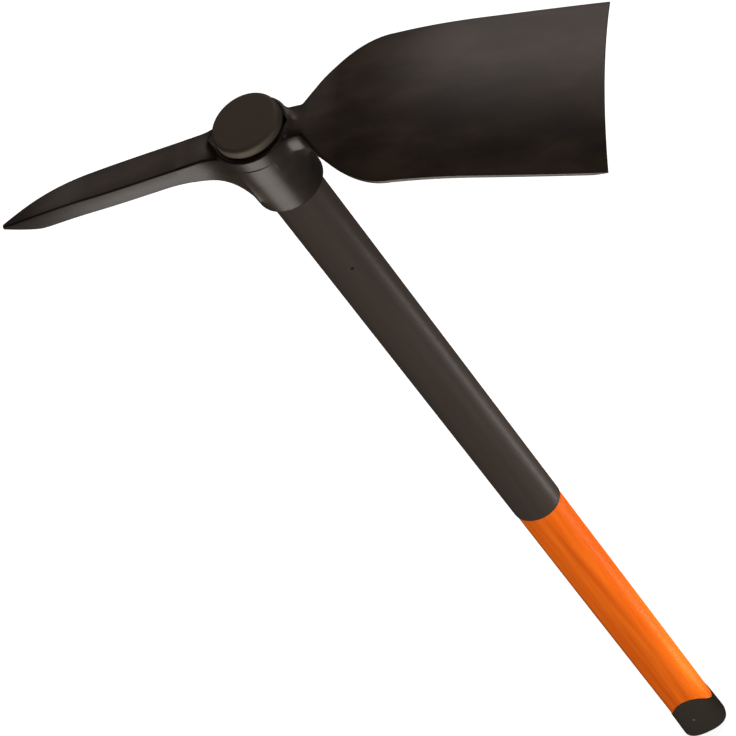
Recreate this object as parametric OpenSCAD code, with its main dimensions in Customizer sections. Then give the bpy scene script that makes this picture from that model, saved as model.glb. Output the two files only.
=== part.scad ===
// Mattock: a forged head with a pick and a wide adze blade, on a slip-fit wooden handle.
// The handle stands on the origin and runs up +Z, the blade reaches +X and the pick -X.

/* [Handle] */
// Length of the handle from the butt to the top of the cap
handle_l = 901; // [700:1:1000]
// Height of the sleeve's lower edge above the butt
sleeve_low = 371; // [200:1:500]
// Half width of the bare shaft at the butt, towards the blade
butt_rx = 20.2; // [18:0.1:20.4]
// Half width of the bare shaft at the butt, across the blade
butt_ry = 15; // [13:0.1:18]
// Half width of the bare shaft at the sleeve's edge, towards the blade
grip_rx = 20.2; // [18:0.1:20.6]
// Half width of the bare shaft at the sleeve's edge, across the blade
grip_ry = 18.2; // [15:0.1:20]
// Radius of the sleeve where it is round, at the mouth of the eye
neck_r = 21.1; // [20:0.1:22]
// Height of the blend from the round sleeve to the flare in the eye
flare_blend = 28; // [15:1:45]
// Wall of the sleeve
sleeve_wall = 1.6; // [1:0.1:2.5]
// How far the sleeve stands proud of the bare shaft
sleeve_step = 0.6; // [0.3:0.1:0.9]
// Gap between the glued pieces of the handle
glue_gap = 0.15; // [0.1:0.05:0.3]

/* [Pins] */
// Diameter of the pins that hold the sleeve and the butt cap
pin_d = 2.6; // [2:0.1:4]
// Length of the pins
pin_l = 12; // [8:0.5:14]
// Bevel at a pin's inner end
pin_bevel = 0.4; // [0.2:0.1:0.8]
// Distance of the sleeve's pin below the mouth of the eye
sleeve_pin_drop = 89; // [50:1:200]
// Direction of the sleeve's pin round the handle, from the blade
sleeve_pin_turn = -66; // [-180:1:180]

/* [Cap] */
// Diameter of the cap on top of the handle
cap_d = 53; // [52:0.5:60]
// Thickness of the cap
cap_h = 8.6; // [6:0.1:12]
// Radius of the cap's rounded upper edge
cap_edge_r = 3; // [1:0.5:5]
// Gap under the cap, above the rim of the eye
cap_gap = 1.2; // [0.8:0.1:3]
// Diameter of the cap's spigot in the shaft
spigot_d = 24; // [16:0.5:30]
// Length of the spigot
spigot_l = 24; // [15:1:40]

/* [Butt cap] */
// Height of the butt cap at its low sides
butt_cap_h = 33; // [25:1:60]
// Extra height of the tongues on the broad faces
tongue_h = 22.8; // [5:0.1:30]
// Turn of the tongues' tops from the broad faces, in degrees
tongue_turn = 16; // [-20:1:20]
// Wall of the butt cap at its upper edge
butt_wall = 1; // [0.8:0.1:1.3]
// How far the butt cap flares out towards its foot
butt_flare = 0.9; // [0:0.1:1]
// Thickness of the butt cap's base
butt_base = 8; // [6.5:0.5:12]
// Radius of the rounded edge at the foot
foot_r = 3.5; // [2:0.5:6]
// Height of the butt cap's pin above the butt
butt_pin_z = 27; // [15:1:30]
// Direction of the butt cap's pin round the handle, from the blade
butt_pin_turn = -90; // [-180:1:180]

/* [Eye] */
// Height of the eye from its mouth to its rim
eye_h = 67; // [50:1:85]
// Radius of the eye at its mouth
eye_mouth_r = 22.9; // [22.8:0.1:24]
// Radius of the eye at its rim
eye_top_r = 25; // [24.5:0.1:25.8]
// Gap between the eye and the sleeve
eye_gap = 0.5; // [0.3:0.1:0.8]
// Wall of the collar at the mouth
collar_wall = 3.8; // [3.5:0.1:7]
// Wall of the band at the rim
rim_wall = 4.8; // [3.5:0.1:7]
// Height of the band under the rim
band_h = 12; // [8:0.5:20]
// Step between the band and the collar below it
band_step = 0.9; // [0.5:0.1:2]
// How far the band narrows downwards
band_taper = 0.6; // [0:0.1:1.5]
// How far the eye's two pointed corners reach past its round wall
corner_reach = 4.6; // [2:0.1:8]
// Depth of the pointed corners below the rim
corner_depth = 45; // [20:1:60]
// Width of the ridge round the pointed corners
ridge_w = 4; // [2:0.1:5]
// How far the ridge's top lies below the rim
ridge_sink = 0.4; // [0.2:0.1:0.8]
// Width of the ridge at its two points, as a share of its width
ridge_point = 1.2; // [1:0.05:1.4]

/* [Pick] */
// Reach of the pick's tip from the handle's axis
pick_reach = 220; // [150:1:300]
// Width of the shank
pick_w = 25.6; // [18:0.2:34]
// Distance from the handle's axis where the shank has spread into its own width
pick_root_x = 46; // [36:1:60]
// Distance from the handle's axis where the width starts to narrow
pick_taper_x = 60; // [50:1:120]
// Fullness of the narrowing, 1 for straight sides
pick_fullness = 3; // [1.5:0.1:4]
// Thickness of the shank
pick_h = 16.6; // [12:0.1:26]
// Drop of the shank's top below the rim, at the handle's axis
pick_sink = 1.9; // [1:0.1:6]
// Downward slope of the top, in degrees
pick_tilt = 5.75; // [0:0.05:8]
// Distance from the handle's axis where the pick starts to bend down to its point
pick_bend_x = 155; // [120:1:180]
// Length of the bend, after which the top runs straight to the tip
pick_bend_l = 32; // [10:1:60]
// Radius of the bend
pick_bend_r = 120; // [80:1:600]
// Width and height of the blunt tip
pick_tip_w = 3; // [1.5:0.1:4]
// Upward slope of the point's underside, in degrees
pick_heel_tilt = 5.7; // [0:0.1:10]
// Softness of the heel, where the underside turns up to the tip
pick_heel_r = 1; // [0.5:0.1:3]
// Bevel along the shank's edges
pick_bevel = 1.2; // [0.6:0.1:2]

/* [Blade] */
// Reach of the cutting edge from the handle's axis
blade_reach = 255; // [200:1:320]
// Width of the cutting edge
blade_w = 152; // [110:1:180]
// Width of the blade at the end of its shoulders
shoulder_w = 132; // [90:1:145]
// Distance of the end of the shoulders from the handle's axis
shoulder_x = 105; // [80:1:140]
// Fullness of the rounded shoulders, 1 for straight ones
shoulder_fullness = 1.95; // [1.5:0.05:3]
// Fullness of the sides from the shoulders to the edge, 1 for straight ones
side_fullness = 1.15; // [1:0.05:1.5]
// Width of the neck
throat_w = 32; // [22:0.5:40]
// Distance of the narrowest place of the neck from the handle's axis
throat_x = 41; // [36:1:55]
// Thickness of the neck
throat_h = 15; // [10:0.5:18]
// Length over which the neck's sides thin out to the plate
throat_thin_l = 20; // [12:1:30]
// How soon the middle of the neck thins out to the plate, 1 for evenly along the blade
throat_hollow = 5; // [3:0.5:8]
// Thickness of the blade behind its bevel
blade_t = 3.4; // [2.4:0.1:6]
// Length of the bevel at the cutting edge
bevel_l = 10; // [6:1:25]
// Thickness of the cutting edge itself
edge_t = 1.6; // [0.8:0.1:2.2]
// Drop of the blade's top below the rim, at the eye
blade_sink = 4.4; // [3:0.1:9]
// Distance from the handle's axis where the blade starts to bend down
bend_x = 66; // [40:1:90]
// Length of the bend, after which the blade runs straight to its edge
bend_l = 99; // [60:1:150]
// Radius of the bend along the blade
blade_bend_r = 380; // [280:1:2000]
// Radius of the crown across the blade
crown_r = 340; // [200:10:1000]

/* [Webs] */
// Reach of the webs under the pick and the blade from the handle's axis
web_reach = 80; // [70:1:120]
// Distance from the handle's axis where the webs would reach the mouth of the eye
web_foot_x = 14; // [10:1:20]
// Width of the blade's web at its outer end
web_tip_w = 10; // [6:0.5:16]
// Bevel along the blade's web
web_bevel = 1; // [0.5:0.1:2]
// Fullness of the spread of pick and blade into the collar
root_fullness = 2.2; // [1.5:0.1:3]

/* [Hidden] */
$fn = 96;

// Number of sides of an oval section
sides = 48;
// Overlap that lets joined or cut shapes cross cleanly
eps = 0.5;
// Stock inside the eye before it is cut
eye_stock = 2;
// Bevel at the collar's two ends
lip = 1;
// Distance from the handle's axis where pick and blade start, inside the collar's wall
root_x = 15;

// Levels along the handle
cap_z = handle_l - cap_h;
rim_z = cap_z - cap_gap;
mouth_z = rim_z - eye_h;
flare_z = mouth_z + flare_blend;

// Radius of the eye at height z, and of the flared sleeve in it
function eye_r(z) = eye_mouth_r + (eye_top_r - eye_mouth_r) * (z - mouth_z) / eye_h;
function flare_r(z) = eye_r(min(z, rim_z)) - eye_gap;

// Steps along the long sweeps, and cells across the blade
pick_steps = 34;
blade_steps = 32;
blade_cells = 10;
web_steps = 14;

// Share of the way from a to b, kept between 0 and 1
function share(x, a, b) = min(1, max(0, (x - a) / (b - a)));
function mix(a, b, s) = a + (b - a) * s;
// Share that starts and ends level
function ease(s) = s * s * (3 - 2 * s);
// The larger of two values, with a rounded change from one to the other
function soft_max(a, b, r) = (a + b) / 2 + norm([(a - b) / 2, r]);

// A solid through a list of rings, each turning left as seen from the next one
module loft(rings) {
    n = len(rings[0]);
    last = (len(rings) - 1) * n;
    side = [for (k = [0:len(rings) - 2]) for (i = [0:n - 1])
        let (a = k * n + i, b = k * n + (i + 1) % n)
        each [[a, a + n, b], [b, a + n, b + n]]];
    foot = [[for (i = [0:n - 1]) i]];
    head = [[for (i = [n - 1:-1:0]) last + i]];
    polyhedron(points = [for (r = rings) each r], faces = concat(foot, side, head));
}

function oval(rx, ry, z) =
    [for (i = [0:sides - 1]) [rx * cos(360 * i / sides), ry * sin(360 * i / sides), z]];

// Half widths of the bare shaft at height z
function bare_rx(z) = mix(butt_rx, grip_rx, share(z, 0, sleeve_low));
function bare_ry(z) = mix(butt_ry, grip_ry, share(z, 0, sleeve_low));

// Half widths of the sleeve at height z: oval at its lower edge, round at the eye, flared in it
function sleeve_rx(z) = sleeve_r(z, grip_rx + sleeve_step);
function sleeve_ry(z) = sleeve_r(z, grip_ry + sleeve_step);
function sleeve_r(z, low) =
    z < mouth_z ? mix(low, neck_r, share(z, sleeve_low, mouth_z)) :
    mix(neck_r, flare_r(z), ease(share(z, mouth_z, flare_z)));

function sleeve_levels(low, high) = concat(
    [low],
    [for (k = [1:3]) mix(sleeve_low, mouth_z, k / 4)],
    [for (k = [0:5]) mix(mouth_z, flare_z, k / 5)],
    [rim_z, high]);

// The sleeve's section, drawn in by inset
function sleeve_ring(z, inset) = oval(sleeve_rx(z) - inset, sleeve_ry(z) - inset, z);
function bare_ring(z) = oval(bare_rx(z), bare_ry(z), z);

// Distance from the handle's axis to an oval section's edge in one direction
function reach(rx, ry, turn) = rx * ry / norm([ry * cos(turn), rx * sin(turn)]);

// Pins driven in square to the handle's axis, flush with the sleeve and with the butt cap
sleeve_pin_z = mouth_z - sleeve_pin_drop;
sleeve_pin_r = reach(sleeve_rx(sleeve_pin_z), sleeve_ry(sleeve_pin_z), sleeve_pin_turn);
butt_out = glue_gap + butt_wall;
butt_pin_out = butt_out
    + butt_flare * (1 - share(butt_pin_z, butt_base, butt_cap_h + tongue_h * tongue(butt_pin_turn)));
butt_pin_r =
    reach(bare_rx(butt_pin_z) + butt_pin_out, bare_ry(butt_pin_z) + butt_pin_out, butt_pin_turn);

// Places a pin's axis on the handle: height, direction and distance of its outer end
module pin_place(z, turn, r) {
    translate([0, 0, z]) rotate([0, 90, turn]) translate([0, 0, r]) children();
}

module pin() {
    translate([0, 0, -pin_l]) cylinder(d1 = pin_d - 2 * pin_bevel, d2 = pin_d, h = pin_bevel);
    translate([0, 0, pin_bevel - pin_l]) cylinder(d = pin_d, h = pin_l - pin_bevel);
}

module pin_hole() {
    translate([0, 0, -pin_l - glue_gap]) cylinder(d = pin_d + 2 * glue_gap, h = pin_l + glue_gap + eps);
}

module sleeve_pin() {
    color("dimgray") pin_place(sleeve_pin_z, sleeve_pin_turn, sleeve_pin_r) pin();
}

module butt_pin() {
    color("dimgray") pin_place(butt_pin_z, butt_pin_turn, butt_pin_r) pin();
}

// Holes for both pins, with the glue's gap round them
module pin_holes() {
    pin_place(sleeve_pin_z, sleeve_pin_turn, sleeve_pin_r) pin_hole();
    pin_place(butt_pin_z, butt_pin_turn, butt_pin_r) pin_hole();
}

// Wooden core: bare and lacquered below the sleeve, rebated under it, flared in the eye
module wood_shaft() {
    rebate = sleeve_wall + glue_gap;
    color("darkorange") difference() {
        loft(concat(
            [bare_ring(butt_base), bare_ring(sleeve_low - glue_gap)],
            [for (z = sleeve_levels(sleeve_low - glue_gap, cap_z)) sleeve_ring(z, rebate)]));
        translate([0, 0, cap_z - spigot_l - glue_gap])
            cylinder(d = spigot_d + 2 * glue_gap, h = spigot_l + eps + glue_gap);
        pin_holes();
    }
}

// Black sleeve over the upper shaft, through the eye to the cap
module shaft_sleeve() {
    color("#2b2725") difference() {
        loft([for (z = sleeve_levels(sleeve_low, cap_z - glue_gap)) sleeve_ring(z, 0)]);
        loft([for (z = sleeve_levels(sleeve_low - eps, cap_z + eps)) sleeve_ring(z, sleeve_wall)]);
        pin_holes();
    }
}

// Round cap that stops the head at the top of the handle, with a spigot in the shaft
module top_cap() {
    r = cap_d / 2;
    color("#26221f") union() {
        rotate_extrude() translate([0, cap_z]) union() {
            square([r, cap_h - cap_edge_r]);
            square([r - cap_edge_r, cap_h]);
            translate([r - cap_edge_r, cap_h - cap_edge_r]) intersection() {
                circle(r = cap_edge_r);
                square(cap_edge_r);
            }
        }
        translate([0, 0, cap_z - spigot_l]) cylinder(d = spigot_d, h = spigot_l + eps);
    }
}

// Share of a tongue's height at an angle: full near the broad faces, none a quarter turn away
function tongue(a) = pow(sin(a - tongue_turn), 2);

// Ring of the butt cap at its scalloped top edge, grown by out past the shaft
function tongue_ring(out) = [for (i = [0:sides - 1])
    let (a = 360 * i / sides, z = butt_cap_h + tongue_h * tongue(a))
    [(bare_rx(z) + out) * cos(a), (bare_ry(z) + out) * sin(a), z]];
function cap_ring(z, out) = oval(bare_rx(z) + out, bare_ry(z) + out, z);

// Moulded cap over the butt, flared to a rounded foot
module butt_cap() {
    flared = butt_out + butt_flare;
    color("#2b2725") difference() {
        loft(concat(
            [for (a = [90:-18:0]) cap_ring(foot_r * (1 - sin(a)), flared - foot_r * (1 - cos(a)))],
            [cap_ring(butt_base, flared)],
            [tongue_ring(butt_out), tongue_ring(glue_gap), cap_ring(butt_base, glue_gap)]));
        pin_holes();
    }
}

// Drop of a web's lower line below the shank at distance u: a quarter ellipse down to the collar
function web_drop(u, depth) = let (s = share(u, web_reach, web_foot_x)) depth * (1 - sqrt(1 - s * s));

// Half width added at the root, where a shank spreads into the collar
function root_spread(u, end_x, half) = (eye_top_r - half) * pow(1 - share(u, root_x, end_x), root_fullness);

// Drop of a bent top at a distance past the start of its bend: an arc of a given length, then straight
function bend_drop(past, length, r) =
    let (far = max(0, past), bent = min(far, length)) bent * (far - bent / 2) / r;

// Pick: straight shank, then a bend down to a point that narrows on all sides
function pick_top(u) = rim_z - pick_sink - u * tan(pick_tilt)
    - bend_drop(u - pick_bend_x, pick_bend_l, pick_bend_r);
function pick_heel(u) = pick_top(pick_reach) - pick_tip_w - (pick_reach - u) * tan(pick_heel_tilt);
function pick_low(u) = soft_max(pick_top(u) - pick_h, pick_heel(u), pick_heel_r)
    - web_drop(u, pick_top(web_reach) - pick_h - mouth_z - lip);
function pick_half(u) = root_spread(u, pick_root_x, pick_w / 2)
    + mix(pick_w, pick_tip_w, pow(share(u, pick_taper_x, pick_reach), pick_fullness)) / 2;
function pick_edge(u) = min(pick_bevel, pick_half(u) / 2, (pick_top(u) - pick_low(u)) / 4);

function bevelled(u, half, top, low, b) = [
    [u, half, low + b], [u, half, top - b], [u, half - b, top], [u, b - half, top],
    [u, -half, top - b], [u, -half, low + b], [u, b - half, low], [u, half - b, low]];

module pick() {
    mirror([1, 0, 0]) loft([for (k = [0:pick_steps])
        let (u = mix(root_x, pick_reach, k / pick_steps))
        bevelled(u, pick_half(u), pick_top(u), pick_low(u), pick_edge(u))]);
}

// Blade: neck, rounded shoulders and a crowned plate that bends down to its edge
function blade_top(x) = rim_z - blade_sink - bend_drop(x - bend_x, bend_l, blade_bend_r);
function blade_half(x) = root_spread(x, throat_x, throat_w / 2) + throat_w / 2
    + (shoulder_w - throat_w) / 2 * (1 - pow(1 - share(x, throat_x, shoulder_x), shoulder_fullness))
    + (blade_w - shoulder_w) / 2 * (1 - pow(1 - share(x, shoulder_x, blade_reach), side_fullness));
bevel_x = blade_reach - bevel_l;
function blade_thick(x) =
    let (plate = mix(blade_t, throat_h, pow(1 - share(x, throat_x, bevel_x), throat_hollow)))
    mix(plate, edge_t, share(x, bevel_x, blade_reach));
function crown(y) = y * y / (2 * crown_r);
// Thickness of the blade's side edges, which thin out quickly past the neck
function side_thick(x) =
    min(blade_thick(x), mix(throat_h, blade_t, ease(share(x, throat_x, throat_x + throat_thin_l))));

// Section of the blade at x: t runs across it from -1 to 1
function blade_under(x, t) = mix(blade_thick(x), side_thick(x), t * t);
function blade_point(x, t, drop) =
    let (y = t * blade_half(x)) [x, y, blade_top(x) - crown(y) - drop * blade_under(x, t)];
function blade_ring(x) = concat(
    [for (k = [0:blade_cells]) blade_point(x, 1 - 2 * k / blade_cells, 0)],
    [for (k = [0:blade_cells]) blade_point(x, 2 * k / blade_cells - 1, 1)]);

module blade() {
    loft(concat(
        [for (k = [0:blade_steps]) blade_ring(mix(root_x, bevel_x, k / blade_steps))],
        [blade_ring(blade_reach)]));
}

// Web under the neck of the blade, down to the foot of the collar
function blade_web_low(u) = blade_top(u) - blade_thick(u) + eps
    - web_drop(u, blade_top(web_reach) - blade_thick(web_reach) - mouth_z - lip);
module blade_web() {
    loft([for (k = [0:web_steps])
        let (u = mix(root_x, web_reach, k / web_steps))
        bevelled(u, mix(throat_w, web_tip_w, share(u, throat_x, web_reach)) / 2,
            blade_top(u) - web_bevel - eps, blade_web_low(u), web_bevel)]);
}

// Distance from the eye's axis and half width where the straight sides of a pointed corner touch the circle
function touch_x(r, tip) = r * r / tip;
function touch_y(r, tip) = r * sqrt(1 - pow(r / tip, 2));

// Ridge round the eye: a circle drawn out to two points
module ridge() {
    r = eye_top_r + ridge_w;
    tip = eye_top_r + corner_reach + ridge_w * ridge_point;
    x = touch_x(r, tip);
    y = touch_y(r, tip);
    translate([0, 0, rim_z - band_h]) linear_extrude(band_h - ridge_sink) {
        circle(r = r);
        polygon([[tip, 0], [x, y], [-x, y], [-tip, 0], [-x, -y], [x, -y]]);
    }
}

// Collar of the eye with the band under its rim
module collar() {
    low_r = eye_mouth_r + collar_wall;
    top_r = eye_top_r + rim_wall;
    band_r = top_r - band_taper;
    inner = eye_mouth_r - eye_stock;
    rotate_extrude() polygon([
        [inner, mouth_z], [low_r - lip, mouth_z], [low_r, mouth_z + lip],
        [band_r - band_step, rim_z - band_h], [band_r, rim_z - band_h + band_step],
        [top_r, rim_z - lip], [top_r - lip, rim_z], [inner, rim_z]]);
}

// Conical bore of the eye
module eye_bore() {
    rotate_extrude() polygon([
        [0, mouth_z - eps], [eye_mouth_r, mouth_z - eps], [eye_mouth_r, mouth_z],
        [eye_top_r, rim_z], [eye_top_r, rim_z + eps], [0, rim_z + eps]]);
}

// One of the eye's pointed corners, closing on the round wall below
module eye_corner(turn) {
    tip = eye_top_r + corner_reach;
    x = touch_x(eye_top_r, tip);
    y = touch_y(eye_top_r, tip);
    rotate([0, 0, turn]) translate([0, 0, rim_z + eps]) rotate([0, atan(corner_reach / corner_depth), 0])
        translate([0, 0, -corner_depth - eps]) linear_extrude(corner_depth + 6 * eps)
            polygon([[tip, 0], [x, y], [0, y], [0, -y], [x, -y]]);
}

// Forged head: pick, eye and blade in one piece
module mattock_head() {
    color("#3a3431") difference() {
        union() {
            collar();
            ridge();
            pick();
            blade();
            blade_web();
        }
        eye_bore();
        eye_corner(0);
        eye_corner(180);
    }
}

mattock_head();
wood_shaft();
shaft_sleeve();
sleeve_pin();
top_cap();
butt_cap();
butt_pin();
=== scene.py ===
"""Looks of a mattock: a forged, lacquered head on a sleeved and lacquered handle, on a white floor.

Sizes are in millimetres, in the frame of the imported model, and turn into metres when a mesh is made.
"""
import math

import bmesh
import bpy
import numpy as np
from mathutils import Matrix, Vector


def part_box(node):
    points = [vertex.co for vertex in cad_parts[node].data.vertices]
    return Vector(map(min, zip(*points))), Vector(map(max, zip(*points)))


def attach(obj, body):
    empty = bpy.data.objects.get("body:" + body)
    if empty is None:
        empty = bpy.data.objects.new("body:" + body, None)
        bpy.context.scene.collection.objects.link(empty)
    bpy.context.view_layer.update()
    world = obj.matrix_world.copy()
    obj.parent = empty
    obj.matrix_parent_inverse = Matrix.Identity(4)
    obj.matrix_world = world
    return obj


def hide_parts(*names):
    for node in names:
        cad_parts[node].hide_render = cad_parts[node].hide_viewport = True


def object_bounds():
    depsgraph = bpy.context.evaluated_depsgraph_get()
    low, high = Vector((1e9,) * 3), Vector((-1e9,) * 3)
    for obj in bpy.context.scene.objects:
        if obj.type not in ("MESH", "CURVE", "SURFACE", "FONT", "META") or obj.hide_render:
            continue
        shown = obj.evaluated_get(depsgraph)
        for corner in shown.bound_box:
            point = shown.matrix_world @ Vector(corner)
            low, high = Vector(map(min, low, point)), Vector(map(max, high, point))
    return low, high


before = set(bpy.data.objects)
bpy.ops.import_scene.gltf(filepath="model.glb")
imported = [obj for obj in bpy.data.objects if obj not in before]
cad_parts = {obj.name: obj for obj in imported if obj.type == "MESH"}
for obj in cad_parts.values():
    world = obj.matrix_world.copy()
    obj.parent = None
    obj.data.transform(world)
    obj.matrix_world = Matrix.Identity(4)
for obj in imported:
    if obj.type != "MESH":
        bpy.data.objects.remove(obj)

MM = 0.001
cad_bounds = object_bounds()


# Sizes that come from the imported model

def box_mm(node):
    """Lowest and highest corner of a node, in millimetres."""
    low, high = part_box(node)
    return low / MM, high / MM


head_low, head_high = box_mm("mattock_head")
cap_low, cap_high = box_mm("top_cap")
sleeve_low_corner, sleeve_high_corner = box_mm("shaft_sleeve")
butt_high = box_mm("butt_cap")[1]

MOUTH_Z = head_low.z
RIM_Z = head_high.z
PICK_REACH = -head_low.x
BLADE_REACH = head_high.x
BLADE_W = head_high.y - head_low.y
CAP_R = cap_high.x
CAP_TOP = cap_high.z
SLEEVE_LOW = sleeve_low_corner.z
SLEEVE_TOP = sleeve_high_corner.z
TONGUE_TOP = butt_high.z

# Handle
BUTT_RX, BUTT_RY = 19.0, 13.0
BUTT_POWER = 2.6
BUTT_TURN = math.radians(16)
GRIP_RX, GRIP_RY = 20.2, 18.2
NECK_R = 21.1
SLEEVE_STEP = 0.6
SLEEVE_WALL = 1.6
SLEEVE_ROUND = 0.5
FLARE_BLEND = 28.0
EYE_GAP = 0.5
GLUE_GAP = 0.15

# Caps
CAP_H = 8.6
CAP_EDGE_R = 3.0
CAP_BEVEL = 0.5
CAP_FACE_RINGS = (0.8, 0.5, 0.2)
SPIGOT_R = 12.0
BUTT_SIDE_H = 33.0
BUTT_WALL = 0.4
BUTT_FLARE = 0.5
BUTT_BASE = 8.0
BUTT_EDGE_FROM = 0.98
BUTT_EDGE = ((0.995, 0.1), (1.0, 0.2))
FOOT_R = 2.6
PIN_PROUD = 0.3
PIN_DEEP = 6.0

# Eye
EYE_MOUTH_R = 22.9
EYE_TOP_R = 25.0
COLLAR_WALL = 3.8
RIM_WALL = 4.8
BAND_H = 12.0
BAND_TAPER = 0.6
LIP = 1.0
CORNER_REACH = 4.6
CORNER_DEPTH = 45.0
LEAST_CORNER = 0.001
CUT_PAST = 5.0
RIDGE_W = 4.0
RIDGE_SINK = 0.4
RIDGE_POINT = 1.2
GROOVE_W = 1.0
GROOVE_DEEP = 0.6
GROOVE_OUT = 3.0
GROOVE_SPAN = math.radians(30)

# Pick
ROOT_X = 15.0
PICK_ROOT_FULLNESS = 2.2
NECK_ROOT_FULLNESS = 4.0
PICK_W = 25.6
PICK_ROOT_X = 46.0
PICK_TAPER_X = 60.0
PICK_FULLNESS = 3.7
PICK_H = 16.6
PICK_SINK = 1.9
PICK_TILT = math.radians(5.75)
PICK_BEND_X = 140.0
PICK_BEND_L = 60.0
PICK_BEND_R = 260.0
PICK_TIP_W = 3.4
PICK_HEEL_TILT = math.radians(5.7)
PICK_HEEL_R = 1.0
PICK_EDGE_R = 1.3
PICK_EDGE_PART_W = 0.7
PICK_EDGE_PART_H = 0.35

# Blade
SHOULDER_W = 132.0
SHOULDER_X = 105.0
SHOULDER_FULLNESS = 1.95
SIDE_FULLNESS = 1.15
THROAT_W = 28.5
THROAT_X = 38.5
THROAT_H = 17.0
THROAT_THIN_L = 20.0
THROAT_HOLLOW = 5.0
BLADE_T = 3.4
BLADE_EDGE_R = 0.5
NECK_ROUND = 5.0
NECK_ROUND_PART = 0.45
BEVEL_L = 10.0
EDGE_T = 1.4
BLADE_SINK = 4.4
NECK_SINK = 1.2
NECK_X = 26.0
BEND_X = 66.0
BEND_L = 99.0
BLADE_BEND_R = 380.0
CROWN_R = 340.0

# Webs
WEB_REACH = 80.0
WEB_FOOT_X = 14.0
WEB_TIP_HALF = 5.0
WEB_SINK = 1.5
WEB_EDGE_R = 1.0

# Seams between the fused middle of the head and the plain lengths of pick and blade, hidden in the metal
SEAM_FROM, SEAM_TO = 56.0, 70.0
SEAM_STEP = 0.15
PICK_STUB = 84.0
BLADE_STUB = 100.0

# Coats
COAT_IOR = 4.0

# Camera: azimuth, elevation and roll in radians, the point on its axis and its distance in millimetres
CAM_AZ = math.radians(32.7)
CAM_EL = math.radians(47.46)
CAM_ROLL = math.radians(38.37)
CAM_AIM = (34.7, -127.2, 754.5)
CAM_DISTANCE = 3138.6
CAM_FAR = 50.0
SENSOR_W = 36.0
LENS = 214.84

# Light: levels, colours, beams in degrees, and the points in metres that the lamps face
FLOOR_HALF = 6.0
FLOOR_COLOUR = (0.3, 0.3, 0.3, 1.0)
FLOOR_GLOW = 0.85
WORLD_LIGHT = 0.06
PLAIN_WHITE = (1, 1, 1)
WARM_WHITE = (1.0, 0.95, 0.90)
DUSKY_WHITE = (1.0, 0.88, 0.84)
WIDE_BEAM = 180
STRIP_BEAM = 60
MID_HANDLE = (0, 0, 0.5)
MID_HEAD = (0, 0, 0.86)

# Resolution of the meshes
ROUND_SIDES = 160
PIN_SIDES = 24
SHAFT_RINGS = 40
SLEEVE_RINGS = 30
FLARE_RINGS = 24
PICK_RINGS = 140
PICK_STUB_RINGS = 60
BLADE_RINGS = 110
BEVEL_RINGS = 6
BLADE_STUB_RINGS = 70
WEB_RINGS = 50
EYE_RINGS = 40
GROOVE_RINGS = 60
COARSE_VOXEL = 1.6
FINE_VOXEL = 0.8
SMOOTH_ANGLE = 40
HEAD_SMOOTH_ANGLE = 50

# Fillets and smoothing of the head: rounds, shares per round, and where along the head they reach
WIDE_FILLET = 140
BLADE_FILLET = 8
NARROW_FILLET = 45
FILL_PULL = 0.6
NORMALS_EVERY = 5
FILLET_REACH = 85.0
FILLET_FADE = 30.0
PICK_SIDE_BLEND = 20.0
SOFTEN_ROUNDS = 4
SMOOTH_IN = 0.5
SMOOTH_OUT = 0.52


# Small helpers

def share(x, a, b):
    """Share of the way from a to b, kept between 0 and 1."""
    return min(1.0, max(0.0, (x - a) / (b - a)))


def mix(a, b, s):
    return a + (b - a) * s


def ease(s):
    """Share that starts and ends level."""
    return s * s * (3 - 2 * s)


def loft(rings, caps=True):
    """Vertices and faces through closed rings of equal length."""
    n = len(rings[0])
    verts = [p for ring in rings for p in ring]
    faces = []
    for k in range(len(rings) - 1):
        for i in range(n):
            a = k * n + i
            b = k * n + (i + 1) % n
            faces.append((a, b, b + n, a + n))
    if caps:
        last = (len(rings) - 1) * n
        faces.append(tuple(reversed(range(n))))
        faces.append(tuple(last + i for i in range(n)))
    return verts, faces


def mesh_object(name, parts, smooth_angle=SMOOTH_ANGLE):
    """One object from a list of (vertices, faces) in millimetres, shaded smooth below an angle."""
    verts, faces = [], []
    for part_verts, part_faces in parts:
        start = len(verts)
        verts += [tuple(c * MM for c in p) for p in part_verts]
        faces += [tuple(start + i for i in face) for face in part_faces]
    mesh = bpy.data.meshes.new(name)
    mesh.from_pydata(verts, [], faces)
    mesh.validate()
    turn_outwards(mesh)
    obj = bpy.data.objects.new(name, mesh)
    bpy.context.scene.collection.objects.link(obj)
    shade(obj, smooth_angle)
    return obj


def turn_outwards(mesh):
    """Turns the faces of closed shapes so that their normals point out."""
    work = bmesh.new()
    work.from_mesh(mesh)
    bmesh.ops.recalc_face_normals(work, faces=work.faces)
    work.to_mesh(mesh)
    work.free()


def shade(obj, smooth_angle):
    mesh = obj.data
    mesh.polygons.foreach_set("use_smooth", [True] * len(mesh.polygons))
    mesh.set_sharp_from_angle(angle=math.radians(smooth_angle))


def bake_modifier(obj, kind, **settings):
    """Adds one modifier, takes its result as the mesh and removes it."""
    modifier = obj.modifiers.new(kind, kind)
    for key, value in settings.items():
        setattr(modifier, key, value)
    graph = bpy.context.evaluated_depsgraph_get()
    result = bpy.data.meshes.new_from_object(obj.evaluated_get(graph))
    obj.modifiers.clear()
    old = obj.data
    obj.data = result
    bpy.data.meshes.remove(old)


def dress(obj, material, body, slot, *nodes):
    """Gives a piece its material and body, and hides the nodes that it stands for. The slot is not used.
    """
    obj.data.materials.clear()
    obj.data.materials.append(material)
    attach(obj, body)
    if nodes:
        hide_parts(*nodes)
    return obj


def oval(rx, ry, z, sides=ROUND_SIDES):
    turns = [2 * math.pi * i / sides for i in range(sides)]
    return [(rx * math.cos(a), ry * math.sin(a), z) for a in turns]


# Materials

def new_material(name):
    material = bpy.data.materials.new(name)
    material.use_nodes = True
    tree = material.node_tree
    shader = tree.nodes["Principled BSDF"]
    return material, tree, shader


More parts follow.
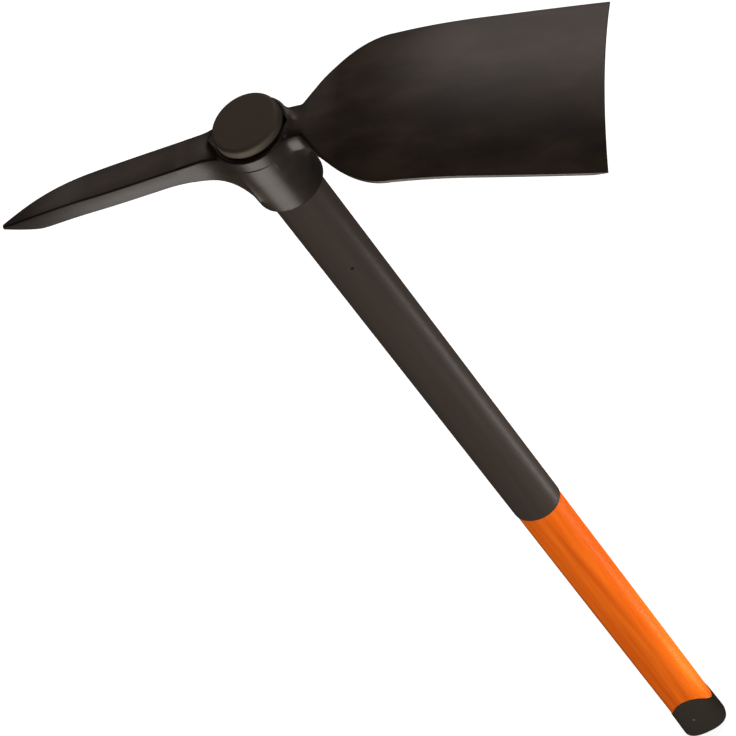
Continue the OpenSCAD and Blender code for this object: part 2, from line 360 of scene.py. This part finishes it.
def add(tree, kind, **inputs):
    """Adds a node; inputs are set by socket name with underscores for spaces."""
    node = tree.nodes.new(kind)
    for key, value in inputs.items():
        node.inputs[key.replace("_", " ")].default_value = value
    return node


def stretched(tree, scale):
    """Object coordinates in metres, stretched by a scale on each axis."""
    place = tree.nodes.new("ShaderNodeTexCoord")
    mapping = add(tree, "ShaderNodeMapping", Scale=scale)
    tree.links.new(place.outputs["Object"], mapping.inputs["Vector"])
    return mapping.outputs["Vector"]


def noise(tree, vector, scale, detail=3.0, rough=0.5):
    node = add(tree, "ShaderNodeTexNoise", Scale=scale, Detail=detail, Roughness=rough)
    tree.links.new(vector, node.inputs["Vector"])
    return node.outputs["Fac"]


def ramp(tree, fac, stops):
    """Colour ramp through (position, colour) stops."""
    node = tree.nodes.new("ShaderNodeValToRGB")
    while len(node.color_ramp.elements) < len(stops):
        node.color_ramp.elements.new(0.5)
    for element, (position, colour) in zip(node.color_ramp.elements, stops):
        element.position = position
        element.color = (*colour, 1.0)
    tree.links.new(fac, node.inputs["Fac"])
    return node.outputs["Color"]


def span(tree, fac, low, high, to_low, to_high):
    node = add(tree, "ShaderNodeMapRange", From_Min=low, From_Max=high, To_Min=to_low, To_Max=to_high)
    tree.links.new(fac, node.inputs["Value"])
    return node.outputs["Result"]


def gloss(shader, weight, roughness):
    """Even gloss that stays dark at the edges: a thin dense coat over a matt base."""
    shader.inputs["Specular IOR Level"].default_value = 0.0
    shader.inputs["Coat Weight"].default_value = weight
    shader.inputs["Coat Roughness"].default_value = roughness
    shader.inputs["Coat IOR"].default_value = COAT_IOR


def bump(tree, shader, height, strength, distance):
    node = add(tree, "ShaderNodeBump", Strength=strength, Distance=distance)
    tree.links.new(height, node.inputs["Height"])
    tree.links.new(node.outputs["Normal"], shader.inputs["Normal"])


def lacquered_steel():
    """Brown-black lacquer over a forged surface: clouds drawn out along the blade, fine peel."""
    material, tree, shader = new_material("lacquered_steel")
    along = stretched(tree, (0.45, 1.0, 1.0))
    clouds = noise(tree, along, 34.0, 5.0, 0.6)
    colour = ramp(tree, clouds, [(0.36, (0.0055, 0.0037, 0.0024)), (0.64, (0.0150, 0.0104, 0.0068))])
    tree.links.new(colour, shader.inputs["Base Color"])
    tree.links.new(span(tree, clouds, 0.3, 0.7, 0.32, 0.42), shader.inputs["Roughness"])
    gloss(shader, 0.022, 0.37)
    peel = noise(tree, stretched(tree, (1.0, 1.0, 1.0)), 900.0, 2.0)
    bump(tree, shader, peel, 0.12, 0.0004)
    return material


def orange_wood():
    """Orange lacquer over straight grain: streaks drawn out along the handle."""
    material, tree, shader = new_material("orange_wood")
    grain = noise(tree, stretched(tree, (1.0, 1.0, 0.03)), 140.0, 4.0, 0.55)
    colour = ramp(tree, grain, [(0.3, (0.55, 0.078, 0.004)), (0.5, (0.68, 0.112, 0.006)),
                                (0.7, (0.80, 0.155, 0.010))])
    tree.links.new(colour, shader.inputs["Base Color"])
    tree.links.new(span(tree, grain, 0.3, 0.7, 0.36, 0.44), shader.inputs["Roughness"])
    gloss(shader, 0.011, 0.40)
    bump(tree, shader, grain, 0.08, 0.0003)
    return material


def black_sleeve():
    """Smooth brown-black sleeve with faint drawing marks along it."""
    material, tree, shader = new_material("black_sleeve")
    marks = noise(tree, stretched(tree, (1.0, 1.0, 0.05)), 160.0, 3.0)
    colour = ramp(tree, marks, [(0.3, (0.028, 0.0195, 0.0142)), (0.7, (0.034, 0.0242, 0.018))])
    tree.links.new(colour, shader.inputs["Base Color"])
    tree.links.new(span(tree, marks, 0.3, 0.7, 0.38, 0.46), shader.inputs["Roughness"])
    gloss(shader, 0.033, 0.42)
    bump(tree, shader, marks, 0.05, 0.0003)
    return material


def black_plastic():
    """Moulded brown-black plastic with a fine spark-eroded grain."""
    material, tree, shader = new_material("black_plastic")
    grain = noise(tree, stretched(tree, (1.0, 1.0, 1.0)), 1600.0, 2.0)
    colour = ramp(tree, grain, [(0.3, (0.029, 0.0236, 0.0176)), (0.7, (0.036, 0.0296, 0.0223))])
    tree.links.new(colour, shader.inputs["Base Color"])
    tree.links.new(span(tree, grain, 0.3, 0.7, 0.48, 0.58), shader.inputs["Roughness"])
    gloss(shader, 0.010, 0.5)
    bump(tree, shader, grain, 0.15, 0.0002)
    return material


def dark_pin():
    """Blackened steel, dull and lightly mottled."""
    material, tree, shader = new_material("dark_pin")
    mottle = noise(tree, stretched(tree, (1.0, 1.0, 1.0)), 2500.0, 2.0)
    colour = ramp(tree, mottle, [(0.3, (0.006, 0.005, 0.004)), (0.7, (0.010, 0.008, 0.006))])
    tree.links.new(colour, shader.inputs["Base Color"])
    tree.links.new(span(tree, mottle, 0.3, 0.7, 0.6, 0.7), shader.inputs["Roughness"])
    shader.inputs["Specular IOR Level"].default_value = 0.1
    return material


def pin_steel():
    """Dull dark steel, brushed in rings too fine to see one by one."""
    material, tree, shader = new_material("pin_steel")
    scratches = noise(tree, stretched(tree, (1.0, 1.0, 1.0)), 2500.0, 2.0)
    colour = ramp(tree, scratches, [(0.3, (0.05, 0.046, 0.042)), (0.7, (0.09, 0.084, 0.078))])
    tree.links.new(colour, shader.inputs["Base Color"])
    tree.links.new(span(tree, scratches, 0.3, 0.7, 0.35, 0.5), shader.inputs["Roughness"])
    shader.inputs["Metallic"].default_value = 0.8
    return material


# Handle

def bare_rx(z):
    return mix(BUTT_RX, GRIP_RX, share(z, 0, SLEEVE_LOW))


def bare_ry(z):
    return mix(BUTT_RY, GRIP_RY, share(z, 0, SLEEVE_LOW))


def grip_point(a, z, out):
    """Point on the bare handle, or out of it: a turned, rounded oblong at the butt, an oval higher up."""
    s = share(z, 0, SLEEVE_LOW)
    bend = 2 / mix(BUTT_POWER, 2.0, s)
    x = (bare_rx(z) + out) * math.copysign(abs(math.cos(a)) ** bend, math.cos(a))
    y = (bare_ry(z) + out) * math.copysign(abs(math.sin(a)) ** bend, math.sin(a))
    turn = mix(BUTT_TURN, 0.0, s)
    return x * math.cos(turn) - y * math.sin(turn), x * math.sin(turn) + y * math.cos(turn), z


def grip_ring(z, out=0.0):
    return [grip_point(2 * math.pi * i / ROUND_SIDES, z, out) for i in range(ROUND_SIDES)]


def eye_r(z):
    return mix(EYE_MOUTH_R, EYE_TOP_R, share(z, MOUTH_Z, RIM_Z))


def sleeve_r(z, low):
    """Half width of the sleeve: straight to the eye, then flared to fit it."""
    if z < MOUTH_Z:
        return mix(low, NECK_R, share(z, SLEEVE_LOW, MOUTH_Z))
    return mix(NECK_R, eye_r(z) - EYE_GAP, ease(share(z, MOUTH_Z, MOUTH_Z + FLARE_BLEND)))


def sleeve_ring(z, inset=0.0):
    rx = sleeve_r(z, GRIP_RX + SLEEVE_STEP) - inset
    ry = sleeve_r(z, GRIP_RY + SLEEVE_STEP) - inset
    return oval(rx, ry, z)


def sleeve_levels():
    straight = np.linspace(SLEEVE_LOW + SLEEVE_ROUND, MOUTH_Z, SLEEVE_RINGS)
    flare = np.linspace(MOUTH_Z, SLEEVE_TOP, FLARE_RINGS)[1:]
    return [float(z) for z in (*straight, *flare)]


def make_shaft():
    rings = [grip_ring(z) for z in np.linspace(BUTT_BASE, SLEEVE_LOW - GLUE_GAP, SHAFT_RINGS)]
    rebate = SLEEVE_WALL + GLUE_GAP
    rings += [sleeve_ring(z, rebate) for z in [SLEEVE_LOW - GLUE_GAP] + sleeve_levels()]
    return mesh_object("shaft", [loft(rings)])


def make_sleeve():
    """Tube with a rounded lower edge, open at both ends round the wooden core."""
    edge = []
    for a in np.linspace(math.pi / 2, 0, 6):
        z = SLEEVE_LOW + SLEEVE_ROUND * (1 - math.sin(a))
        edge.append(sleeve_ring(z, SLEEVE_ROUND * (1 - math.cos(a))))
    outside = edge + [sleeve_ring(z) for z in sleeve_levels()[1:]]
    inside = [sleeve_ring(z, SLEEVE_WALL) for z in reversed([SLEEVE_LOW] + sleeve_levels())]
    rings = outside + inside
    verts, faces = loft(rings, caps=False)
    n = len(rings[0])
    last = (len(rings) - 1) * n
    faces += [(last + i, i, (i + 1) % n, last + (i + 1) % n) for i in range(n)]
    return mesh_object("sleeve", [(verts, faces)])


def make_cap():
    """Round cap with a rounded upper edge and a small bevel below, on its spigot."""
    under = CAP_TOP - CAP_H
    profile = [(SPIGOT_R, cap_low.z), (SPIGOT_R, under)]
    profile += [(CAP_R - CAP_BEVEL, under), (CAP_R, under + CAP_BEVEL)]
    for a in np.linspace(0, math.pi / 2, 10):
        r = CAP_R - CAP_EDGE_R * (1 - math.cos(a))
        profile.append((r, CAP_TOP - CAP_EDGE_R * (1 - math.sin(a))))
    profile += [(CAP_R * s, CAP_TOP) for s in CAP_FACE_RINGS]
    return mesh_object("handle_cap", [loft([oval(r, r, z) for r, z in profile])])


def tongue_ring(s, out):
    """Ring of the butt cap a share s of the way up to its edge, which rises on the broad faces."""
    ring = []
    for i in range(ROUND_SIDES):
        a = 2 * math.pi * i / ROUND_SIDES
        top = mix(BUTT_SIDE_H, TONGUE_TOP, math.sin(a) ** 2)
        ring.append(grip_point(a, mix(BUTT_BASE, top, s), out))
    return ring


def make_butt_cap():
    """Moulded cup over the butt: rounded foot, flared wall, scalloped and rounded upper edge."""
    wall = GLUE_GAP + BUTT_WALL
    flared = wall + BUTT_FLARE
    rings = []
    for a in np.linspace(math.pi / 2, 0, 9):
        z = FOOT_R * (1 - math.sin(a))
        out = flared - FOOT_R * (1 - math.cos(a))
        rings.append(grip_ring(z, out))
    rings += [tongue_ring(s, mix(flared, wall, s)) for s in np.linspace(0, BUTT_EDGE_FROM, 14)]
    rings += [tongue_ring(s, wall - inset) for s, inset in BUTT_EDGE]
    rings += [tongue_ring(s, GLUE_GAP) for s in np.linspace(1.0, 0, 6)]
    return mesh_object("butt_cup", [loft(rings)])


def make_butt_pin():
    """Pin a little proud of the butt cap's broad face."""
    low, high = box_mm("butt_pin")
    r = (high.x - low.x) / 2
    z = (high.z + low.z) / 2
    near = [y for x, y, _ in grip_ring(z, GLUE_GAP + BUTT_WALL) if abs(x) < r]
    face = min(near)
    rings = []
    for y in (face + PIN_DEEP, face - PIN_PROUD):
        rings.append([(px, y, z + pz) for px, pz, _ in oval(r, r, 0.0, PIN_SIDES)])
    return mesh_object("butt_stud", [loft(rings)])


# Head

def web_drop(u, depth):
    """Drop of a web's lower line: a quarter ellipse down to the collar."""
    s = share(u, WEB_REACH, WEB_FOOT_X)
    return depth * (1 - math.sqrt(1 - s * s))


def root_spread(u, end_x, half, fullness):
    """Half width added where a shank spreads into the collar."""
    return (EYE_TOP_R - half) * (1 - share(u, ROOT_X, end_x)) ** fullness


def soft_max(a, b, r):
    """The larger of two values, with a rounded change from one to the other."""
    return (a + b) / 2 + math.hypot((a - b) / 2, r)


def bend_drop(past, length, r):
    """Drop of a bent top past the start of its bend: an arc of a given length, then straight."""
    far = max(0.0, past)
    bent = min(far, length)
    return bent * (far - bent / 2) / r


def pick_top(u):
    bend = bend_drop(u - PICK_BEND_X, PICK_BEND_L, PICK_BEND_R)
    return RIM_Z - PICK_SINK - u * math.tan(PICK_TILT) - bend


def pick_low(u):
    """Underside of the pick: a web down to the collar, then the shank, then a soft heel up to the tip."""
    heel = pick_top(PICK_REACH) - PICK_TIP_W - (PICK_REACH - u) * math.tan(PICK_HEEL_TILT)
    depth = pick_top(WEB_REACH) - PICK_H - MOUTH_Z - LIP
    return soft_max(pick_top(u) - PICK_H, heel, PICK_HEEL_R) - web_drop(u, depth)


def pick_half(u):
    taper = mix(PICK_W, PICK_TIP_W, share(u, PICK_TAPER_X, PICK_REACH) ** PICK_FULLNESS)
    return root_spread(u, PICK_ROOT_X, PICK_W / 2, PICK_ROOT_FULLNESS) + taper / 2


def rounded_section(x, half, low, top, r):
    """Section across x with four rounded corners."""
    ring = []
    corners = ((-90, 1, low + r), (0, 1, top - r), (90, -1, top - r), (180, -1, low + r))
    for start, side, level in corners:
        for a in np.radians(np.linspace(start, start + 90, 6)):
            ring.append((x, side * (half - r) + r * math.cos(a), level + r * math.sin(a)))
    return ring


def seam_grow(x):
    """How far a stub stands out of its plain length: proud near the eye, sunk farther out."""
    return mix(SEAM_STEP, -SEAM_STEP, share(x, SEAM_FROM, SEAM_TO))


def pick_ring(u, grow=0.0):
    half, low, top = pick_half(u) + grow, pick_low(u) - grow, pick_top(u) + grow
    r = min(PICK_EDGE_R, PICK_EDGE_PART_W * half, PICK_EDGE_PART_H * (top - low))
    return rounded_section(-u, half, low, top, r)


def pick_stub():
    return loft([pick_ring(u, seam_grow(u)) for u in np.linspace(ROOT_X, PICK_STUB, PICK_STUB_RINGS)])


def pick_length():
    return loft([pick_ring(u) for u in np.linspace(SEAM_FROM, PICK_REACH, PICK_RINGS)])


def blade_top(x):
    """Top of the neck and the blade: near the rim at the eye, then lower, then bent to the edge."""
    sink = mix(NECK_SINK, BLADE_SINK, ease(share(x, NECK_X, BEND_X)))
    return RIM_Z - sink - bend_drop(x - BEND_X, BEND_L, BLADE_BEND_R)


def blade_half(x):
    shoulder = 1 - (1 - share(x, THROAT_X, SHOULDER_X)) ** SHOULDER_FULLNESS
    side = 1 - (1 - share(x, SHOULDER_X, BLADE_REACH)) ** SIDE_FULLNESS
    wide = (SHOULDER_W - THROAT_W) * shoulder + (BLADE_W - SHOULDER_W) * side
    return root_spread(x, THROAT_X, THROAT_W / 2, NECK_ROOT_FULLNESS) + (THROAT_W + wide) / 2


def blade_thick(x):
    bevel_x = BLADE_REACH - BEVEL_L
    plate = mix(BLADE_T, THROAT_H, (1 - share(x, THROAT_X, bevel_x)) ** THROAT_HOLLOW)
    return mix(plate, EDGE_T, share(x, bevel_x, BLADE_REACH))


def side_thick(x):
    """Thickness of the blade's side edges, which thin out quickly past the neck."""
    thin = ease(share(x, THROAT_X, THROAT_X + THROAT_THIN_L))
    return min(blade_thick(x), mix(THROAT_H, BLADE_T, thin))


def side_round(x):
    """Radius of the rounding along the sides: full at the neck, a small one along the blade."""
    full = min(NECK_ROUND, NECK_ROUND_PART * side_thick(x))
    return mix(full, BLADE_EDGE_R, share(x, THROAT_X, WEB_REACH))


def blade_ring(x, grow=0.0, cells=44, corner=8):
    """Section of the crowned blade at x, with rounded sides."""
    half = blade_half(x) + grow
    r = side_round(x)

    def upper(y):
        return blade_top(x) - y * y / (2 * CROWN_R) + grow

    def lower(y):
        return upper(y) - mix(blade_thick(x), side_thick(x), (y / half) ** 2) - 2 * grow

    def corners(radius):
        turns = [math.pi / 2 * k / corner for k in range(1, corner + 1)]
        return [(half - radius * (1 - math.sin(a)), radius * (1 - math.cos(a))) for a in turns]

    def across(radius):
        return [mix(radius - half, half - radius, k / cells) for k in range(cells + 1)]

    over, under = corners(r), corners(BLADE_EDGE_R)
    ring = [(x, y, upper(y)) for y in reversed(across(r))]
    ring += [(x, -y, upper(y) - down) for y, down in over]
    ring += [(x, -y, lower(y) + down) for y, down in reversed(under)]
    ring += [(x, y, lower(y)) for y in across(BLADE_EDGE_R)]
    ring += [(x, y, lower(y) + down) for y, down in under]
    ring += [(x, y, upper(y) - down) for y, down in reversed(over)]
    return ring


def blade_stub():
    return loft([blade_ring(x, seam_grow(x)) for x in np.linspace(ROOT_X, BLADE_STUB, BLADE_STUB_RINGS)])


def blade_length():
    bevel_x = BLADE_REACH - BEVEL_L
    plate = np.linspace(SEAM_FROM, bevel_x, BLADE_RINGS)
    bevel = np.linspace(bevel_x, BLADE_REACH, BEVEL_RINGS)[1:]
    return loft([blade_ring(x) for x in (*plate, *bevel)])


def keel_section(x, half, low_half, low, top, r):
    """Section across x that narrows downwards, with rounded lower corners."""
    ring = [(x, -low_half + r, low), (x, low_half - r, low), (x, low_half, low + r)]
    return ring + [(x, half, top), (x, -half, top), (x, -low_half, low + r)]


def blade_web():
    depth = blade_top(WEB_REACH) - blade_thick(WEB_REACH) - MOUTH_Z - LIP
    rings = []
    for u in np.linspace(ROOT_X, WEB_REACH, WEB_RINGS):
        half = mix(THROAT_W / 2, WEB_TIP_HALF, share(u, THROAT_X, WEB_REACH))
        low = blade_top(u) - blade_thick(u) + WEB_EDGE_R / 2 - web_drop(u, depth)
        rings.append(keel_section(u, half, WEB_TIP_HALF, low, blade_top(u) - WEB_SINK, WEB_EDGE_R))
    return loft(rings)


def collar():
    """Collar as a solid of revolution; the eye is cut into it later."""
    low_r = EYE_MOUTH_R + COLLAR_WALL
    top_r = EYE_TOP_R + RIM_WALL
    profile = [(low_r - LIP, MOUTH_Z), (low_r, MOUTH_Z + LIP), (top_r - BAND_TAPER, RIM_Z - BAND_H),
               (top_r, RIM_Z - LIP), (top_r - LIP, RIM_Z)]
    return loft([oval(r, r, z) for r, z in profile])


def teardrop(r, tip, z, sides=ROUND_SIDES):
    """Circle drawn out to a point towards the blade and one towards the pick."""
    touch = math.acos(r / tip)
    ring = []
    for i in range(sides):
        a = 2 * math.pi * i / sides
        off = abs((a + math.pi / 2) % math.pi - math.pi / 2)
        d = r / math.cos(touch - off) if off < touch else r
        ring.append((d * math.cos(a), d * math.sin(a), z))
    return ring


def ridge():
    r = EYE_TOP_R + RIDGE_W
    tip = EYE_TOP_R + CORNER_REACH + RIDGE_W * RIDGE_POINT
    return loft([teardrop(r, tip, z) for z in (RIM_Z - BAND_H, RIM_Z - RIDGE_SINK)])


def eye_cutter():
    """Conical eye whose two corners close on its round wall at a depth below the rim."""
    rings = [oval(EYE_MOUTH_R, EYE_MOUTH_R, MOUTH_Z - CUT_PAST)]
    for z in np.linspace(MOUTH_Z, RIM_Z, EYE_RINGS):
        corner = CORNER_REACH * share(z, RIM_Z - CORNER_DEPTH, RIM_Z)
        rings.append(teardrop(eye_r(z), eye_r(z) + max(corner, LEAST_CORNER), z))
    rings.append(teardrop(EYE_TOP_R, EYE_TOP_R + CORNER_REACH, RIM_Z + CUT_PAST))
    return loft(rings)


def groove_cutter(centre):
    """Shallow V groove along the foot of the band, fading out at both ends."""
    r = EYE_TOP_R + RIM_WALL - BAND_TAPER
    z = RIM_Z - BAND_H
    rings = []
    for s in np.linspace(-1, 1, GROOVE_RINGS):
        a = centre + s * GROOVE_SPAN
        deep = GROOVE_DEEP * (1 - s * s)
        rise = (GROOVE_OUT + deep) * GROOVE_W / (2 * GROOVE_DEEP)
        section = [(r - deep, z), (r + GROOVE_OUT, z - rise), (r + GROOVE_OUT, z + rise)]
        rings.append([(d * math.cos(a), d * math.sin(a), level) for d, level in section])
    return loft(rings)


def mesh_arrays(mesh):
    """Points, edges and the number of edges at each point of a mesh."""
    n = len(mesh.vertices)
    co = np.empty(n * 3)
    mesh.vertices.foreach_get("co", co)
    edges = np.empty(len(mesh.edges) * 2, int)
    mesh.edges.foreach_get("vertices", edges)
    return co.reshape(-1, 3), edges.reshape(-1, 2), np.bincount(edges, minlength=n)


def neighbours_mean(co, edges, counts):
    total = np.zeros_like(co)
    for axis in range(3):
        total[:, axis] += np.bincount(edges[:, 0], co[edges[:, 1], axis], len(co))
        total[:, axis] += np.bincount(edges[:, 1], co[edges[:, 0], axis], len(co))
    return total / counts[:, None]


def near_eye(co):
    """Weight 1 round the eye and the webs, falling to 0 along the pick and the blade."""
    return np.clip((FILLET_REACH - np.abs(co[:, 0]) / MM) / FILLET_FADE, 0, 1)


def pick_side(co):
    """Weight 1 on the pick's half of the eye, falling to 0 on the blade's half."""
    return near_eye(co) * np.clip(0.5 - co[:, 0] / MM / PICK_SIDE_BLEND, 0, 1)


def fill_creases(mesh, rounds, where):
    """Fillets creases by a weight: points in a hollow move to their neighbours' mean, others stay."""
    co, edges, counts = mesh_arrays(mesh)
    weight = where(co)[:, None]
    normals = np.empty(co.size)
    for step in range(rounds):
        if step % NORMALS_EVERY == 0:
            mesh.vertices.foreach_set("co", co.ravel())
            mesh.update()
            mesh.vertices.foreach_get("normal", normals)
        pull = neighbours_mean(co, edges, counts) - co
        hollow = (np.einsum("ij,ij->i", pull, normals.reshape(-1, 3)) > 0)[:, None]
        co = co + FILL_PULL * weight * hollow * pull
    mesh.vertices.foreach_set("co", co.ravel())
    mesh.update()


def soften(mesh, rounds):
    """Takes the voxel steps out of a surface without shrinking it: smooths, then pushes back."""
    co, edges, counts = mesh_arrays(mesh)
    for _ in range(rounds):
        co = co + SMOOTH_IN * (neighbours_mean(co, edges, counts) - co)
        co = co - SMOOTH_OUT * (neighbours_mean(co, edges, counts) - co)
    mesh.vertices.foreach_set("co", co.ravel())
    mesh.update()


def join(obj, other):
    """Adds another object's mesh to an object and removes the other."""
    work = bmesh.new()
    work.from_mesh(obj.data)
    work.from_mesh(other.data)
    work.to_mesh(obj.data)
    work.free()
    bpy.data.objects.remove(other)


def combine(obj, part, operation):
    """Fuses a closed part with an object, or cuts it away."""
    tool = mesh_object("tool", [part])
    bake_modifier(obj, "BOOLEAN", operation=operation, object=tool, solver="MANIFOLD")
    bpy.data.objects.remove(tool)


def make_head():
    """Forged head in one piece: wide fillets, the ridge with narrow ones, the plain lengths, the cuts."""
    forms = [collar(), pick_stub(), blade_stub(), blade_web()]
    head = mesh_object("forged_head", forms)
    bake_modifier(head, "REMESH", mode="VOXEL", voxel_size=COARSE_VOXEL * MM)
    fill_creases(head.data, WIDE_FILLET, pick_side)
    fill_creases(head.data, BLADE_FILLET, near_eye)
    join(head, mesh_object("sharp_forms", [*forms, ridge()]))
    bake_modifier(head, "REMESH", mode="VOXEL", voxel_size=FINE_VOXEL * MM)
    fill_creases(head.data, NARROW_FILLET, near_eye)
    soften(head.data, SOFTEN_ROUNDS)
    combine(head, pick_length(), "UNION")
    combine(head, blade_length(), "UNION")
    combine(head, eye_cutter(), "DIFFERENCE")
    for side in (-1, 1):
        combine(head, groove_cutter(side * math.pi / 2), "DIFFERENCE")
    shade(head, HEAD_SMOOTH_ANGLE)
    return head


# Stage, light and camera

def make_floor(z):
    """Pale floor that keeps the shadow and shows white to the camera and in reflections."""
    half = FLOOR_HALF
    corners = [(-half, -half, z), (half, -half, z), (half, half, z), (-half, half, z)]
    mesh = bpy.data.meshes.new("floor")
    mesh.from_pydata(corners, [], [(0, 1, 2, 3)])
    floor = bpy.data.objects.new("floor", mesh)
    bpy.context.scene.collection.objects.link(floor)
    material, tree, shader = new_material("floor_white")
    shader.inputs["Base Color"].default_value = FLOOR_COLOUR
    shader.inputs["Roughness"].default_value = 1.0
    shader.inputs["Specular IOR Level"].default_value = 0.0
    path = tree.nodes.new("ShaderNodeLightPath")
    seen = path.outputs["Is Camera Ray"]
    for ray in ("Is Glossy Ray", "Is Transmission Ray"):
        either = tree.nodes.new("ShaderNodeMath")
        either.operation = "MAXIMUM"
        tree.links.new(seen, either.inputs[0])
        tree.links.new(path.outputs[ray], either.inputs[1])
        seen = either.outputs[0]
    glow = add(tree, "ShaderNodeEmission", Color=(1, 1, 1, 1))
    tree.links.new(span(tree, seen, 0.0, 1.0, 0.0, FLOOR_GLOW), glow.inputs["Strength"])
    both = tree.nodes.new("ShaderNodeAddShader")
    tree.links.new(shader.outputs[0], both.inputs[0])
    tree.links.new(glow.outputs[0], both.inputs[1])
    tree.links.new(both.outputs[0], tree.nodes["Material Output"].inputs["Surface"])
    mesh.materials.append(material)
    return floor


def make_world():
    """Dim plain light all round."""
    world = bpy.data.worlds.new("studio")
    bpy.context.scene.world = world
    world.use_nodes = True
    background = world.node_tree.nodes["Background"]
    background.inputs["Color"].default_value = (1, 1, 1, 1)
    background.inputs["Strength"].default_value = WORLD_LIGHT


def softbox(name, place, aim, size, power, spread=WIDE_BEAM, pieces=(), colour=PLAIN_WHITE):
    """Rectangular lamp, facing a point, in metres; its beam is in degrees. It may be flagged to pieces."""
    light = bpy.data.lights.new(name, "AREA")
    light.shape = "RECTANGLE"
    light.size, light.size_y = size
    light.energy = power
    light.color = colour
    light.spread = math.radians(spread)
    obj = bpy.data.objects.new(name, light)
    obj.location = place
    obj.rotation_euler = (Vector(aim) - Vector(place)).to_track_quat("-Z", "Y").to_euler()
    obj.visible_camera = False
    bpy.context.scene.collection.objects.link(obj)
    if pieces:
        lit = bpy.data.collections.new(name + "_lit")
        for piece in pieces:
            lit.objects.link(piece)
        obj.light_linking.receiver_collection = lit
    return obj


def make_camera():
    """Camera of the photograph: above and to the right of the handle, rolled, with a long lens."""
    camera = bpy.data.cameras.new("photo_camera")
    camera.sensor_fit = "HORIZONTAL"
    camera.sensor_width = SENSOR_W
    camera.lens = LENS
    camera.clip_end = CAM_FAR
    level = math.cos(CAM_EL)
    toward = Vector((level * math.sin(CAM_AZ), -level * math.cos(CAM_AZ), math.sin(CAM_EL)))
    level_right = Vector((math.cos(CAM_AZ), math.sin(CAM_AZ), 0))
    level_up = toward.cross(level_right)
    right = math.cos(CAM_ROLL) * level_right - math.sin(CAM_ROLL) * level_up
    up = toward.cross(right)
    place = Vector(CAM_AIM) * MM + toward * CAM_DISTANCE * MM
    turn = Matrix((right, up, toward)).transposed().to_4x4()
    obj = bpy.data.objects.new("photo_camera", camera)
    obj.matrix_world = Matrix.Translation(place) @ turn
    bpy.context.scene.collection.objects.link(obj)
    bpy.context.scene.camera = obj


materials = {maker.__name__: maker() for maker in
             (lacquered_steel, orange_wood, black_sleeve, black_plastic, dark_pin, pin_steel)}

head = dress(make_head(), materials["lacquered_steel"], "head", "lacquered_steel", "mattock_head")
shaft = dress(make_shaft(), materials["orange_wood"], "handle", "orange_wood", "wood_shaft")
sleeve = dress(make_sleeve(), materials["black_sleeve"], "handle", "black_sleeve", "shaft_sleeve")
cap = dress(make_cap(), materials["black_plastic"], "handle", "black_plastic", "top_cap")
butt_cap = dress(make_butt_cap(), materials["black_plastic"], "handle", "black_plastic", "butt_cap")
butt_pin = dress(make_butt_pin(), materials["pin_steel"], "handle", "pin_steel", "butt_pin")
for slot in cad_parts["sleeve_pin"].material_slots:
    slot.material = materials["dark_pin"]

floor = make_floor(cad_bounds[0][2])
not_head = [floor, shaft, sleeve, cap, butt_cap, butt_pin]
make_world()
softbox("fill_front", place=(0.6, -2.4, 0.9), aim=MID_HANDLE, size=(1.0, 1.0), power=52, pieces=not_head)
softbox("key_right", place=(2.1, 0.4, 1.2), aim=MID_HANDLE, size=(1.0, 1.0), power=11, pieces=not_head)
softbox("back_top", place=(0.42, 2.05, 2.38), aim=(0.1, 0, 0.85), size=(1.35, 1.35), power=72,
        colour=DUSKY_WHITE)
softbox("back_left", place=(-1.5, 1.3, 2.0), aim=(-0.15, 0, 0.86), size=(0.6, 0.6), power=13,
        colour=DUSKY_WHITE)
softbox("low_front", place=(-0.22, -0.70, 0.04), aim=MID_HEAD, size=(0.9, 0.4), power=48,
        pieces=[head, cap], colour=WARM_WHITE)
softbox("low_back", place=(0.2, 2.2, 0.55), aim=MID_HEAD, size=(1.0, 1.0), power=30, pieces=[head])
softbox("edge_light", place=(0.74, -0.49, 1.65), aim=(0, 0, 0.88), size=(0.3, 0.3), power=5.5,
        pieces=[head], colour=WARM_WHITE)
softbox("low_strip", place=(0.22, 0.05, 0.20), aim=(0, 0, 0.38), size=(0.06, 0.5), power=0.26,
        spread=STRIP_BEAM, pieces=[shaft, sleeve])
make_camera()
bpy.context.scene.view_settings.view_transform = "Standard"
